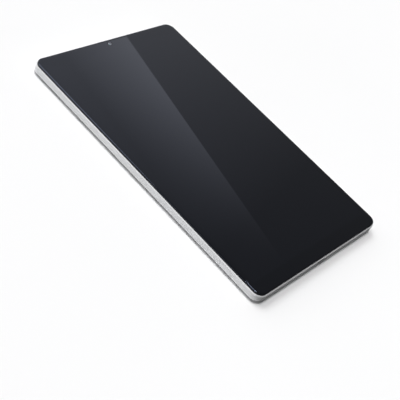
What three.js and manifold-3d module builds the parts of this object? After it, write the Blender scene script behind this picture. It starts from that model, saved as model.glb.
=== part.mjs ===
// Slim tablet computer of the 8.4-inch class, lying on its back with the screen up.
// Millimetres. X runs to the side with the keys, Y to the end with the front camera, Z out of the screen.
// The origin is the middle of the underside, on the surface that the tablet lies on.
import * as THREE from "three";
import { mergeVertices } from "three/addons/utils/BufferGeometryUtils.js";
import Module from "manifold-3d";

const wasm = await Module();
wasm.setup();

// ---- Driving dimensions ----

// Outside of the body
const WIDTH = 125;
const LENGTH = 204.6;
const THICKNESS = 7.6;
const CORNER_RADIUS = 6.4;
const BACK_EDGE_RADIUS = 2.8;
const CAMERA_PROUD = 0.3; // the camera trim stands out of the back by this much, and the tablet rests on it

// White shell
const SHELL_WALL = 1.3;
const SHELL_FLOOR = 0.9;
const RIM_CHAMFER = 0.4;

// Glass, and the black band of the front frame that shows under it
const GLASS_INSET = 0.6;
const GLASS_THICKNESS = 0.8;
const GLASS_SOFT_EDGE = 0.45;
const BAND_HEIGHT = 0.7;
const TAPE_SPACE = 0.15; // between the frame and the glass

// Display module behind the glass
const PANEL = { width: WIDTH - 7, length: LENGTH - 18.6, thickness: 1.1 };
const BACKLIGHT = { width: PANEL.width - 0.6, length: PANEL.length - 1, thickness: 0.65 };

// Heights of the layers
const LAYER_GAP = 0.05; // bonded or resting layers keep this much between their faces
const BACK_Z = CAMERA_PROUD;
const TOP_Z = BACK_Z + THICKNESS;
const GLASS_Z = TOP_Z - GLASS_THICKNESS;
const RIM_Z = GLASS_Z - BAND_HEIGHT;
const FLOOR_Z = BACK_Z + SHELL_FLOOR;
const FRAME_Z = RIM_Z + LAYER_GAP;
const FRAME_TOP_Z = GLASS_Z - TAPE_SPACE;
const PANEL_Z = GLASS_Z - LAYER_GAP - PANEL.thickness;
const BACKLIGHT_Z = PANEL_Z - LAYER_GAP - BACKLIGHT.thickness;
const PLATE_THICKNESS = 0.5;
const PLATE_Z = BACKLIGHT_Z - LAYER_GAP - PLATE_THICKNESS;
const BOARD_Z = 2.9;
const BOARD_TOP_Z = BOARD_Z + 0.6;
const CONNECTOR_HEIGHT = 0.9;
const FLEX_THICKNESS = 0.15;
const FLEX_Z = BOARD_TOP_Z + 0.2; // of the flexible circuits that lie just over the boards

// The sides and ends of the body, and the inner faces of the shell's walls
const OUTER_X = WIDTH / 2;
const OUTER_Y = LENGTH / 2;
const WALL_X = OUTER_X - SHELL_WALL;
const WALL_Y = OUTER_Y - SHELL_WALL;

// Side with the keys
const KEY_Z = 4.2;
const KEY_HEIGHT = 2.2;
const KEY_PROUD = 0.45;
const KEY_PLAY = 0.15;
const VOLUME = { y: 44.6, length: 16.8, flangeX: 60.35, plungerX: 59.75, switchOffset: 5.3 };
const POWER = { y: 30.1, length: 7.3, flangeX: 60.6, plungerX: 59.95 };
const TRAY = { y: 11, length: 19.4, height: 2.2, z: 4.15, play: 0.12, holeY: 3.2, faceX: 61.1 };
const CARD = { x0: 39, x1: 61.3, z0: 3.75, z1: 4.45, border: 1.5, windowX: 55 }; // the tray's drawer

// Ends
const PORT_Z = 3.9;
const PORT = { width: 8.9, height: 3.2, depth: 7.6, inset: 0.25, sheet: 0.3 };
const MICROPHONE = { x: 12, holeRadius: 0.45 };
const GRILLE = { holes: 7, pitch: 2.6, radius: 0.55 };
const SPEAKERS = [
  { side: "left", x: -38.5, earX: -52.5 },
  { side: "right", x: 24, earX: 37.7 },
];
const SPEAKER = { y: WALL_Y - 5.45, width: 22, length: 10, z: 1.6, height: 3, earY: OUTER_Y - 6.8 };

// Cameras
const FRONT_CAMERA = { x: 0, y: OUTER_Y - 4.3, half: 2.2, barrelRadius: 1.4, windowRadius: 1.9 };
const REAR_CAMERA = { half: 4.2, z: 2, barrelRadius: 2.8 };
const FLASH_RADIUS = 1.5;
const ISLAND = { x: 49.1, y: 84.5, width: 11, length: 20.1, rim: 0.95, lensY: 89.4, flashY: 79.2 };

// Battery
const CELL = { width: 44.4, length: 128, y: -11, z: 1.35, thickness: 3.05 };
const CELLS = [
  { side: "left", x: -34 },
  { side: "right", x: 11 },
];

// Main board: it runs across the top end, with a column down the side with the keys
const BOARD = {
  left: -56.5,
  right: 56.8,
  low: OUTER_Y - 43.3,
  high: OUTER_Y - 13.8,
  columnX: 36.5,
  columnLow: -4,
};
const CHIPS_Y = OUTER_Y - 28.3;

// Lower board, round the port
const SUB = { left: -30, right: 48, low: -OUTER_Y + 3.8, high: -OUTER_Y + 21.3 };

// Screws that hold the boards and speakers to the plate
const SCREWS = [
  { name: "screw_main_board_1", x: BOARD.left + 3, y: BOARD.high - 3 },
  { name: "screw_main_board_2", x: BOARD.left + 3, y: BOARD.low + 3 },
  { name: "screw_main_board_3", x: BOARD.columnX + 3, y: BOARD.high - 3 },
  { name: "screw_main_board_4", x: BOARD.right - 3.5, y: BOARD.high - 19.5 },
  { name: "screw_main_board_5", x: BOARD.right - 3.5, y: BOARD.columnLow + 3 },
  { name: "screw_sub_board_1", x: SUB.left + 3.5, y: SUB.high - 4 },
  { name: "screw_sub_board_2", x: SUB.right - 3.5, y: SUB.low + 3.5 },
  ...SPEAKERS.map(({ side, earX }) => ({ name: `screw_speaker_${side}`, x: earX, y: SPEAKER.earY })),
];
const SCREW = { radius: 0.6, headRadius: 1.3, headThickness: 0.45, holeRadius: 0.9, bossRadius: 1.7 };

// Overshoot of a cutting tool past the face that it cuts
const PAST = 1;

const X_AXIS = new THREE.Vector3(1, 0, 0);
const Y_AXIS = new THREE.Vector3(0, 1, 0);
const Z_AXIS = new THREE.Vector3(0, 0, 1);

// ---- Outlines ----

function roundedRectangle(width, length, radius, x = 0, y = 0) {
  const [left, right] = [x - width / 2 + radius, x + width / 2 - radius];
  const [bottom, top] = [y - length / 2 + radius, y + length / 2 - radius];
  const shape = new THREE.Shape();
  shape.absarc(right, bottom, radius, -Math.PI / 2, 0);
  shape.absarc(right, top, radius, 0, Math.PI / 2);
  shape.absarc(left, top, radius, Math.PI / 2, Math.PI);
  shape.absarc(left, bottom, radius, Math.PI, Math.PI * 1.5);
  shape.closePath();
  return shape;
}

// The body's outline, shrunk by an inset.
function bodyOutline(inset) {
  return roundedRectangle(WIDTH - 2 * inset, LENGTH - 2 * inset, CORNER_RADIUS - inset);
}

// An outline with two straight sides and two half-round ends, longer along its own x or along its own y.
function pill(width, length, x = 0, y = 0) {
  const radius = Math.min(width, length) / 2;
  const shape = new THREE.Shape();
  if (width > length) {
    const reach = width / 2 - radius;
    shape.absarc(x + reach, y, radius, -Math.PI / 2, Math.PI / 2);
    shape.absarc(x - reach, y, radius, Math.PI / 2, Math.PI * 1.5);
  } else {
    const reach = length / 2 - radius;
    shape.absarc(x, y + reach, radius, 0, Math.PI);
    shape.absarc(x, y - reach, radius, Math.PI, Math.PI * 2);
  }
  shape.closePath();
  return shape;
}

function circle(radius, x = 0, y = 0) {
  return new THREE.Shape().absarc(x, y, radius, 0, Math.PI * 2);
}

function polygon(points) {
  return new THREE.Shape(points.map(([x, y]) => new THREE.Vector2(x, y)));
}

// ---- Solids ----

// A closed three.js geometry as a solid that can be joined and cut.
function solid(geometry) {
  const bare = new THREE.BufferGeometry();
  const loose = geometry.index ? geometry.toNonIndexed() : geometry;
  bare.setAttribute("position", loose.getAttribute("position"));
  const merged = mergeVertices(bare, 1e-4);
  return new wasm.Manifold(
    new wasm.Mesh({
      numProp: 3,
      vertProperties: merged.attributes.position.array,
      triVerts: new Uint32Array(merged.index.array),
    }),
  );
}

// The outline extruded upwards from low to high. An arc gets twice `steps` edges.
function prism(shape, low, high, steps = 4) {
  const options = { depth: high - low, bevelEnabled: false, curveSegments: steps };
  return solid(new THREE.ExtrudeGeometry(shape, options).translate(0, 0, low));
}

// As prism, with both ends rounded (or chamfered, with one step). The outline is that of the flat ends.
function softPrism(shape, low, high, bevel, bevelSteps, steps = 4) {
  const options = {
    depth: high - low - 2 * bevel,
    bevelThickness: bevel,
    bevelSize: bevel,
    bevelSegments: bevelSteps,
    curveSegments: steps,
  };
  return solid(new THREE.ExtrudeGeometry(shape, options).translate(0, 0, low + bevel));
}

// An outline drawn in Y and Z, extruded along X.
function prismX(shape, low, high, steps = 4) {
  const geometry = new THREE.ExtrudeGeometry(shape, {
    depth: high - low,
    bevelEnabled: false,
    curveSegments: steps,
  });
  geometry.applyMatrix4(new THREE.Matrix4().makeBasis(Y_AXIS, Z_AXIS, X_AXIS));
  return solid(geometry.translate(low, 0, 0));
}

// An outline drawn in X and Z, extruded along Y.
function prismY(shape, low, high, steps = 4) {
  const geometry = new THREE.ExtrudeGeometry(shape, {
    depth: high - low,
    bevelEnabled: false,
    curveSegments: steps,
  });
  geometry.applyMatrix4(new THREE.Matrix4().makeBasis(X_AXIS, Z_AXIS, Y_AXIS.clone().negate()));
  return solid(geometry.translate(0, high, 0));
}

// A box between two corners.
function box([x0, y0, z0], [x1, y1, z1]) {
  const geometry = new THREE.BoxGeometry(x1 - x0, y1 - y0, z1 - z0);
  return solid(geometry.translate((x0 + x1) / 2, (y0 + y1) / 2, (z0 + z1) / 2));
}

function join(first, ...others) {
  return others.reduce((whole, other) => whole.add(other), first);
}

function cut(first, ...others) {
  return others.reduce((whole, other) => whole.subtract(other), first);
}

// ---- Finishes ----

function finish(color, roughness, metalness = 0) {
  return new THREE.MeshStandardMaterial({ color, roughness, metalness });
}

const WHITE_GLOSS = finish(0xf1f2f3, 0.18);
const BLACK_PLASTIC = finish(0x141416, 0.45);
const BLACK_GLASS = finish(0x0c0d10, 0.06);
const SILVER = finish(0xc9cbce, 0.3, 1);
const STEEL = finish(0xa7a9ad, 0.35, 1);
const MAGNESIUM = finish(0x83868a, 0.5, 1);
const BOARD_GREEN = finish(0x17402f, 0.5);
const FLEX_AMBER = finish(0xb06f24, 0.45);
const TAPE = finish(0x1c1c1e, 0.8);
const CELL_SILVER = finish(0xb9bcc1, 0.35);
const GRAPHITE = finish(0x2b2c2f, 0.6);
const PORT_BLACK = finish(0x101012, 0.5);
const CLEAR = finish(0xe9edf0, 0.08);
const FILM_WHITE = finish(0xe4e7ea, 0.4);
const GOLD = finish(0xc8a24a, 0.35, 1);
const PHOSPHOR = finish(0xe8d98a, 0.4);

const tablet = new THREE.Group();

// Adds a solid to the tablet as one named mesh.
function part(name, shape, material) {
  const { vertProperties, triVerts } = shape.getMesh();
  const geometry = new THREE.BufferGeometry();
  geometry.setAttribute("position", new THREE.BufferAttribute(new Float32Array(vertProperties), 3));
  geometry.setIndex(new THREE.BufferAttribute(new Uint32Array(triVerts), 1));
  geometry.computeVertexNormals();
  const mesh = new THREE.Mesh(geometry, material);
  mesh.name = name;
  tablet.add(mesh);
}

// ---- Shell, frame and glass ----

// The holes of one speaker's grille, in a row along the top edge.
function grilleHoles(x) {
  const holes = [];
  for (let i = 0; i < GRILLE.holes; i++) {
    const holeX = x + (i - (GRILLE.holes - 1) / 2) * GRILLE.pitch;
    holes.push(prismY(circle(GRILLE.radius, holeX, PORT_Z), WALL_Y - PAST, OUTER_Y + PAST, 6));
  }
  return holes;
}

// One moulding: a floor with a rounded edge, and walls that end in a chamfered rim under the front frame.
function rearCover() {
  const beyond = 2 * BACK_EDGE_RADIUS; // takes the far, unused edge of each soft prism out of the shell
  const rounded = softPrism(bodyOutline(BACK_EDGE_RADIUS), BACK_Z, RIM_Z + beyond, BACK_EDGE_RADIUS, 5);
  const overhang = 0.5;
  const chamfered = softPrism(bodyOutline(RIM_CHAMFER), BACK_Z - beyond, RIM_Z, RIM_CHAMFER + overhang, 1);
  const insideEdge = 1;
  const cavity = softPrism(bodyOutline(SHELL_WALL + insideEdge), FLOOR_Z, RIM_Z + beyond, insideEdge, 2);
  const keySlots = [VOLUME, POWER].map((key) => {
    const slot = pill(key.length + 2 * KEY_PLAY, KEY_HEIGHT + 2 * KEY_PLAY, key.y, KEY_Z);
    return prismX(slot, WALL_X - PAST, OUTER_X + PAST);
  });
  const traySlot = pill(TRAY.length + 2 * TRAY.play, TRAY.height + 2 * TRAY.play, TRAY.y, TRAY.z);
  const portHole = pill(PORT.width + 0.4, PORT.height + 0.3, 0, PORT_Z);
  const microphoneHole = circle(MICROPHONE.holeRadius, MICROPHONE.x, PORT_Z);
  const islandHole = pill(ISLAND.width + 0.2, ISLAND.length + 0.2, ISLAND.x, ISLAND.y);
  return cut(
    rounded.intersect(chamfered),
    cavity,
    ...keySlots,
    prismX(traySlot, WALL_X - PAST, OUTER_X + PAST),
    prismY(portHole, -OUTER_Y - PAST, -WALL_Y + PAST),
    prismY(microphoneHole, -OUTER_Y - PAST, -WALL_Y + PAST, 5),
    prism(islandHole, BACK_Z - PAST, FLOOR_Z + PAST, 7),
    ...SPEAKERS.flatMap((speaker) => grilleHoles(speaker.x)),
  );
}

// The outline of a hole over the display, wider than the panel by a margin on each side.
function displayWindow(marginX, marginY) {
  const cornerRadius = 1;
  return roundedRectangle(PANEL.width + 2 * marginX, PANEL.length + 2 * marginY, cornerRadius);
}

// Black frame: a flat ring that carries the glass on the shell's rim, with a hole for the front camera.
function frontFrame() {
  const [low, high] = [FRAME_Z - PAST, FRAME_TOP_Z + PAST];
  return cut(
    prism(bodyOutline(GLASS_INSET), FRAME_Z, FRAME_TOP_Z),
    prism(displayWindow(0.3, 0.4), low, high, 2),
    prism(circle(FRONT_CAMERA.windowRadius, FRONT_CAMERA.x, FRONT_CAMERA.y), low, high, 8),
  );
}

// Front glass: flat, with a softened edge on its outer side.
function coverGlass() {
  const blankZ = GLASS_Z - 2 * GLASS_SOFT_EDGE;
  const blank = softPrism(bodyOutline(GLASS_INSET + GLASS_SOFT_EDGE), blankZ, TOP_Z, GLASS_SOFT_EDGE, 3);
  const below = box([-WIDTH, -LENGTH, blankZ - PAST], [WIDTH, LENGTH, GLASS_Z]);
  return cut(blank, below);
}

// Ring of tape between the frame and the glass.
function displayTape() {
  const gap = 0.03;
  const setBack = 0.5; // from the glass's edge
  const [low, high] = [FRAME_TOP_Z + gap, GLASS_Z - gap];
  const { x, y, windowRadius } = FRONT_CAMERA;
  return cut(
    prism(bodyOutline(GLASS_INSET + setBack), low, high),
    prism(displayWindow(0.6, 0.7), low - PAST, high + PAST, 2),
    prism(circle(windowRadius + 0.3, x, y), low - PAST, high + PAST, 8),
  );
}

part("rear_cover", rearCover(), WHITE_GLOSS);
part("front_frame", frontFrame(), BLACK_PLASTIC);
part("cover_glass", coverGlass(), BLACK_GLASS);
part("display_tape", displayTape(), TAPE);

// ---- Display ----

const DISPLAY_FLEX = { x: -16, width: 16, endY: OUTER_Y - 14.8, bendY: OUTER_Y - 8.3, radius: 0.5 };

// The display's ribbon leaves the panel's end, turns down through the plate and runs back over the board.
function displayFlex() {
  const { x, width, endY, bendY, radius } = DISPLAY_FLEX;
  const [outer, inner] = [radius + FLEX_THICKNESS / 2, radius - FLEX_THICKNESS / 2];
  const startY = PANEL.length / 2 + 0.1;
  const upperZ = PANEL_Z - 0.25;
  const lowerZ = BOARD_TOP_Z + 1;
  const ribbon = new THREE.Shape();
  ribbon.moveTo(startY, upperZ + outer);
  ribbon.absarc(bendY, upperZ, outer, Math.PI / 2, 0, true);
  ribbon.absarc(bendY, lowerZ, outer, 0, -Math.PI / 2, true);
  ribbon.lineTo(endY, lowerZ - outer);
  ribbon.lineTo(endY, lowerZ - inner);
  ribbon.absarc(bendY, lowerZ, inner, -Math.PI / 2, 0);
  ribbon.absarc(bendY, upperZ, inner, 0, Math.PI / 2);
  ribbon.lineTo(startY, upperZ + inner);
  ribbon.closePath();
  return prismX(ribbon, x - width / 2, x + width / 2, 3);
}

// A block that stands on the upper face of a board.
function onBoard(x, y, width, length, height = CONNECTOR_HEIGHT) {
  const low = BOARD_TOP_Z + LAYER_GAP;
  return box([x - width / 2, y - length / 2, low], [x + width / 2, y + length / 2, low + height]);
}

function slab({ width, length, thickness }, low) {
  return box([-width / 2, -length / 2, low], [width / 2, length / 2, low + thickness]);
}

part("display_panel", slab(PANEL, PANEL_Z), BLACK_GLASS);
part("backlight_unit", slab(BACKLIGHT, BACKLIGHT_Z), FILM_WHITE);
part("display_flex", displayFlex(), FLEX_AMBER);
part("display_connector", onBoard(DISPLAY_FLEX.x, DISPLAY_FLEX.endY - 2.1, 14, 3.8), BLACK_PLASTIC);

// ---- Plate that carries the display, boards and battery ----

function midPlate() {
  const play = 0.15; // to the shell's walls
  const plate = prism(bodyOutline(SHELL_WALL + play), PLATE_Z, PLATE_Z + PLATE_THICKNESS);
  const bosses = SCREWS.map(({ x, y }) => {
    return prism(circle(SCREW.bossRadius, x, y), BOARD_TOP_Z + LAYER_GAP, PLATE_Z + 0.2, 8);
  });
  const threads = SCREWS.map(({ x, y }) => {
    return prism(circle(SCREW.radius + 0.1, x, y), BOARD_TOP_Z - PAST, PLATE_Z + 0.2, 6);
  });
  const [low, high] = [PLATE_Z - PAST, PLATE_Z + PLATE_THICKNESS + PAST];
  const keyBay = box([57.4, TRAY.y - 12.5, low], [OUTER_X, VOLUME.y + 13, high]);
  const cameraHalf = FRONT_CAMERA.half + 0.6;
  const cameraBay = box([-cameraHalf, FRONT_CAMERA.y - cameraHalf, low], [cameraHalf, OUTER_Y, high]);
  const portHalf = PORT.width / 2 + 0.85;
  const portBay = box([-portHalf, -OUTER_Y, low], [portHalf, -OUTER_Y + PORT.depth + 0.9, high]);
  const slotHalf = DISPLAY_FLEX.width / 2 + 1;
  const flexSlot = box(
    [DISPLAY_FLEX.x - slotHalf, DISPLAY_FLEX.bendY - 0.2, low],
    [DISPLAY_FLEX.x + slotHalf, DISPLAY_FLEX.bendY + 1.2, high],
  );
  return cut(join(plate, ...bosses), ...threads, keyBay, cameraBay, portBay, flexSlot);
}

// A pan-head screw, driven upwards, with a cross recess in its head.
function boardScrew(x, y) {
  const headTop = BOARD_Z - LAYER_GAP;
  const headLow = headTop - SCREW.headThickness;
  const recess = { reach: 0.8, half: 0.14, depth: 0.2 };
  const [recessLow, recessHigh] = [headLow - PAST, headLow + recess.depth];
  return cut(
    join(
      prism(circle(SCREW.headRadius, x, y), headLow, headTop, 8),
      prism(circle(SCREW.radius, x, y), headTop - 0.1, PLATE_Z + 0.1, 5),
    ),
    box([x - recess.reach, y - recess.half, recessLow], [x + recess.reach, y + recess.half, recessHigh]),
    box([x - recess.half, y - recess.reach, recessLow], [x + recess.half, y + recess.reach, recessHigh]),
  );
}

part("mid_plate", midPlate(), MAGNESIUM);
for (const { name, x, y } of SCREWS) part(name, boardScrew(x, y), STEEL);

// ---- Battery ----

const CELL_TOP_Z = CELL.z + CELL.thickness;
const CELL_END_Y = CELL.y + CELL.length / 2;

function batteryCell(x) {
  const edge = 0.6;
  const outline = roundedRectangle(CELL.width - 2 * edge, CELL.length - 2 * edge, 1.2, x, CELL.y);
  return softPrism(outline, CELL.z, CELL_TOP_Z, edge, 2, 2);
}

function batteryTape(x) {
  const outline = roundedRectangle(CELL.width - 8, CELL.length - 12, 3, x, CELL.y);
  return prism(outline, CELL_TOP_Z + LAYER_GAP, PLATE_Z - LAYER_GAP, 2);
}

for (const { side, x } of CELLS) {
  part(`battery_cell_${side}`, batteryCell(x), CELL_SILVER);
  part(`battery_tape_${side}`, batteryTape(x), TAPE);
}

// The battery's own board, beyond the ends of the cells, and the plug that joins it to the main board.
const CELL_BOARD = { left: -30, right: 9, low: CELL_END_Y + 0.4, high: CELL_END_Y + 4.4, z0: 2.7, z1: 4.1 };
const PLUG = { x: 5, y: BOARD.low + 3, width: 7, length: 3 };

function batteryFlex() {
  const half = PLUG.width / 2 - 0.5;
  const plugEnd = PLUG.y - PLUG.length / 2 - 0.1;
  return box([PLUG.x - half, CELL_BOARD.high + 0.1, 3.8], [PLUG.x + half, plugEnd, 3.8 + FLEX_THICKNESS]);
}

part(
  "battery_board",
  box([CELL_BOARD.left, CELL_BOARD.low, CELL_BOARD.z0], [CELL_BOARD.right, CELL_BOARD.high, CELL_BOARD.z1]),
  BOARD_GREEN,
);
part("battery_flex", batteryFlex(), FLEX_AMBER);
part("battery_connector", onBoard(PLUG.x, PLUG.y, PLUG.width, PLUG.length), BLACK_PLASTIC);

// ---- Main board ----

function mainBoard() {
  const cameraClear = { x: ISLAND.x - 6.7, y: ISLAND.lensY - 17.4 }; // corner cut off for the rear camera
  const lobe = { left: -25.5, right: 8, high: BOARD.high + 5.7 };
  const outline = polygon([
    [BOARD.left, BOARD.low],
    [BOARD.columnX, BOARD.low],
    [BOARD.columnX, BOARD.columnLow],
    [BOARD.right, BOARD.columnLow],
    [BOARD.right, cameraClear.y],
    [cameraClear.x, cameraClear.y],
    [cameraClear.x, BOARD.high],
    [lobe.right, BOARD.high],
    [lobe.right, lobe.high],
    [lobe.left, lobe.high],
    [lobe.left, BOARD.high],
    [BOARD.left, BOARD.high],
  ]);
  return cut(prism(outline, BOARD_Z, BOARD_TOP_Z), ...screwHoles("screw_main_board"));
}

function screwHoles(prefix) {
  return SCREWS.filter(({ name }) => name.startsWith(prefix)).map(({ x, y }) => {
    return prism(circle(SCREW.holeRadius, x, y), BOARD_Z - PAST, BOARD_TOP_Z + PAST, 6);
  });
}

const CAN_Z = 1.45;
const CHIP_Z = 1.9;

// A pressed can over the chips on the board's lower face, open towards the board.
function shieldCan(x, y, width, length) {
  const [low, high] = [CAN_Z, BOARD_Z - LAYER_GAP];
  const [sheet, corner] = [0.2, 1];
  const outside = roundedRectangle(width, length, corner, x, y);
  const inside = roundedRectangle(width - 2 * sheet, length - 2 * sheet, corner - sheet, x, y);
  return cut(prism(outside, low, high, 2), prism(inside, low + sheet, high + PAST, 2));
}

// A chip under the board, inside its can.
function chip(x, y, size) {
  return box([x - size / 2, y - size / 2, CHIP_Z], [x + size / 2, y + size / 2, BOARD_Z - LAYER_GAP]);
}

part("main_board", mainBoard(), BOARD_GREEN);
part("shield_processor", shieldCan(-26, CHIPS_Y, 34, 24), STEEL);
part("processor", chip(-33, CHIPS_Y, 13), GRAPHITE);
part("memory_chip", chip(-17, CHIPS_Y, 11), GRAPHITE);
part("shield_power", shieldCan(15, CHIPS_Y, 26, 22), STEEL);
part("shield_radio", shieldCan(47, 42, 17, 24), STEEL);
part(
  "graphite_sheet",
  box([-48, CHIPS_Y - 13, FLOOR_Z + LAYER_GAP], [32, CHIPS_Y + 13, CAN_Z - LAYER_GAP]),
  GRAPHITE,
);

// ---- Lower board, port and microphone ----

const PORT_MOUTH_Y = -OUTER_Y + PORT.inset;
const PORT_BACK_Y = PORT_MOUTH_Y + PORT.depth;

function subBoard() {
  const portCut = { x: PORT.width / 2 + 0.75, y: PORT_BACK_Y + 0.8 };
  const outline = polygon([
    [SUB.left, SUB.low],
    [-portCut.x, SUB.low],
    [-portCut.x, portCut.y],
    [portCut.x, portCut.y],
    [portCut.x, SUB.low],
    [SUB.right, SUB.low],
    [SUB.right, SUB.high],
    [SUB.left, SUB.high],
  ]);
  return cut(prism(outline, BOARD_Z, BOARD_TOP_Z), ...screwHoles("screw_sub_board"));
}

// The port's metal sleeve, closed at its inner end.
function portShell() {
  const hollow = pill(PORT.width - 2 * PORT.sheet, PORT.height - 2 * PORT.sheet, 0, PORT_Z);
  return cut(
    prismY(pill(PORT.width, PORT.height, 0, PORT_Z), PORT_MOUTH_Y, PORT_BACK_Y, 5),
    prismY(hollow, PORT_MOUTH_Y - PAST, PORT_BACK_Y - PORT.sheet, 5),
  );
}

// The port's contact tongue on its moulded base.
function portTongue() {
  const clear = PORT.sheet + 0.1;
  const base = pill(PORT.width - 2 * clear, PORT.height - 2 * clear, 0, PORT_Z);
  const baseBack = PORT_BACK_Y - clear;
  const baseThickness = 1.4;
  const tongue = { half: 3.35, halfThickness: 0.35, setBack: 0.8 };
  return join(
    prismY(base, baseBack - baseThickness, baseBack, 5),
    box(
      [-tongue.half, PORT_MOUTH_Y + tongue.setBack, PORT_Z - tongue.halfThickness],
      [tongue.half, baseBack - baseThickness / 2, PORT_Z + tongue.halfThickness],
    ),
  );
}

part("sub_board", subBoard(), BOARD_GREEN);
part("usb_c_shell", portShell(), SILVER);
part("usb_c_tongue", portTongue(), PORT_BLACK);
part("microphone", onBoard(MICROPHONE.x, SUB.low + 1.9, 3.5, 2.7), GOLD);

// The circuit that joins the two boards, past the side of the battery.
function mainFlex() {
  const low = BOARD_TOP_Z + LAYER_GAP;
  return box([38, SUB.high - 6, low], [46, BOARD.columnLow + 6, low + FLEX_THICKNESS]);
}

part("main_flex", mainFlex(), FLEX_AMBER);

// ---- Cameras ----

const TRIM_FLOOR_Z = 0.85;
const TRIM_TOP_Z = FLOOR_Z + 0.45;

// Black surround of the rear camera: a raised rim, a pocket for its glass, two windows and a flange
// that holds it behind the shell's floor.
function cameraTrim() {
  const { x, y, width, length, rim, lensY, flashY } = ISLAND;
  const edge = 0.15;
  const lip = 0.7; // the flange reaches past the rim by this much
  const tall = softPrism(pill(width - 2 * edge, length - 2 * edge, x, y), 0, TRIM_TOP_Z + PAST, edge, 2, 7);
  const aboveTrim = box([x - width, y - length, TRIM_TOP_Z], [x + width, y + length, TRIM_TOP_Z + 2 * PAST]);
  const flange = prism(pill(width + 2 * lip, length + 2 * lip, x, y), FLOOR_Z + LAYER_GAP, TRIM_TOP_Z, 7);
  const pocket = prism(pill(width - 2 * rim, length - 2 * rim, x, y), -PAST, TRIM_FLOOR_Z, 7);
  return cut(
    join(cut(tall, aboveTrim), flange),
    pocket,
    prism(circle(REAR_CAMERA.barrelRadius + 0.4, x, lensY), 0, TRIM_TOP_Z + PAST, 10),
    prism(circle(FLASH_RADIUS + 0.3, x, flashY), 0, TRIM_TOP_Z + PAST, 8),
  );
}

function cameraGlass() {
  const clear = ISLAND.rim + 0.08;
  const sunk = 0.12; // under the trim's rim
  const outline = pill(ISLAND.width - 2 * clear, ISLAND.length - 2 * clear, ISLAND.x, ISLAND.y);
  return prism(outline, sunk, TRIM_FLOOR_Z - LAYER_GAP, 7);
}

function rearCamera() {
  const { x, lensY } = ISLAND;
  const { half, z, barrelRadius } = REAR_CAMERA;
  const barrel = prism(circle(barrelRadius, x, lensY), TRIM_FLOOR_Z + 0.1, z + 0.1, 10);
  return join(barrel, box([x - half, lensY - half, z], [x + half, lensY + half, PLATE_Z - 0.1]));
}

function frontCamera() {
  const { x, y, half, barrelRadius } = FRONT_CAMERA;
  const bodyTop = FRAME_Z - 0.15;
  const barrel = prism(circle(barrelRadius, x, y), bodyTop - 0.1, GLASS_Z - 0.1, 8);
  return join(barrel, box([x - half, y - half, BOARD_TOP_Z + 0.1], [x + half, y + half, bodyTop]));
}

// From the camera's lower side to the main board's column.
function rearCameraFlex() {
  const cameraEnd = ISLAND.lensY - REAR_CAMERA.half - 0.2;
  return box([45.4, cameraEnd - 18, FLEX_Z], [51.2, cameraEnd, FLEX_Z + FLEX_THICKNESS]);
}

// The flash: its window in the trim, and its lamp behind the window.
function flashLens() {
  return prism(circle(FLASH_RADIUS, ISLAND.x, ISLAND.flashY), TRIM_FLOOR_Z + 0.02, 1.5, 8);
}

function flashLed() {
  const { x, flashY } = ISLAND;
  const half = FLASH_RADIUS - 0.2;
  return box([x - half, flashY - half, 1.6], [x + half, flashY + half, 2.5]);
}

part("camera_trim", cameraTrim(), BLACK_PLASTIC);
part("camera_glass", cameraGlass(), BLACK_GLASS);
part("rear_camera_module", rearCamera(), PORT_BLACK);
part("rear_camera_flex", rearCameraFlex(), FLEX_AMBER);
part("flash_lens", flashLens(), CLEAR);
part("flash_led", flashLed(), PHOSPHOR);
part("front_camera_module", frontCamera(), PORT_BLACK);

// ---- Speakers and antennas ----

// A speaker box with a soft-edged case and an ear for its screw.
function speaker(x, earX) {
  const { y, width, length, z, height, earY } = SPEAKER;
  const edge = 0.4;
  const earHalf = 2.2;
  const outline = roundedRectangle(width - 2 * edge, length - 2 * edge, 2 * edge, x, y);
  const toBox = Math.sign(x - earX);
  const tip = earX - toBox * (earHalf + 0.2);
  const root = x - toBox * (width / 2 - 0.5);
  const ear = box(
    [Math.min(tip, root), earY - earHalf, BOARD_Z],
    [Math.max(tip, root), earY + earHalf, BOARD_TOP_Z],
  );
  const hole = prism(circle(SCREW.holeRadius, earX, earY), BOARD_Z - PAST, BOARD_TOP_Z + PAST, 6);
  return cut(join(softPrism(outline, z, z + height, edge, 2, 2), ear), hole);
}

// Cloth behind the grille's holes.
function speakerMesh(x) {
  const half = SPEAKER.width / 2 - 1;
  return box([x - half, WALL_Y - 0.3, PORT_Z - 1], [x + half, WALL_Y - 0.1, PORT_Z + 0.6]);
}

for (const { side, x, earX } of SPEAKERS) {
  part(`speaker_${side}`, speaker(x, earX), BLACK_PLASTIC);
  part(`speaker_mesh_${side}`, speakerMesh(x), GRAPHITE);
}

const ANTENNA = { z0: SPEAKER.z, z1: 4.5 };
const UPPER_ANTENNA = box([46, OUTER_Y - 6.5, ANTENNA.z0], [57, OUTER_Y - 2.9, ANTENNA.z1]);
const LOWER_ANTENNA = box([-56, SUB.low - 0.5, ANTENNA.z0], [-33, SUB.high, ANTENNA.z1]);
part("antenna_upper", UPPER_ANTENNA, BLACK_PLASTIC);
part("antenna_lower", LOWER_ANTENNA, BLACK_PLASTIC);

// Thin coaxial lead from the main board to the lower antenna, beside the battery.
function coaxLead() {
  const route = new THREE.CatmullRomCurve3(
    [
      [-55.4, BOARD.low - 0.5],
      [-58.4, BOARD.low - 7],
      [-58.6, 40],
      [-58.6, -20],
      [-58.6, SUB.high + 18],
      [-58.2, SUB.high + 8],
      [-55, SUB.high + 0.4],
    ].map(([x, y]) => new THREE.Vector3(x, y, PORT_Z)),
  );
  const options = { steps: 40, bevelEnabled: false, extrudePath: route, curveSegments: 4 };
  return solid(new THREE.ExtrudeGeometry(circle(0.4), options));
}

part("coax_lead", coaxLead(), GRAPHITE);

// ---- Side keys ----

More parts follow.
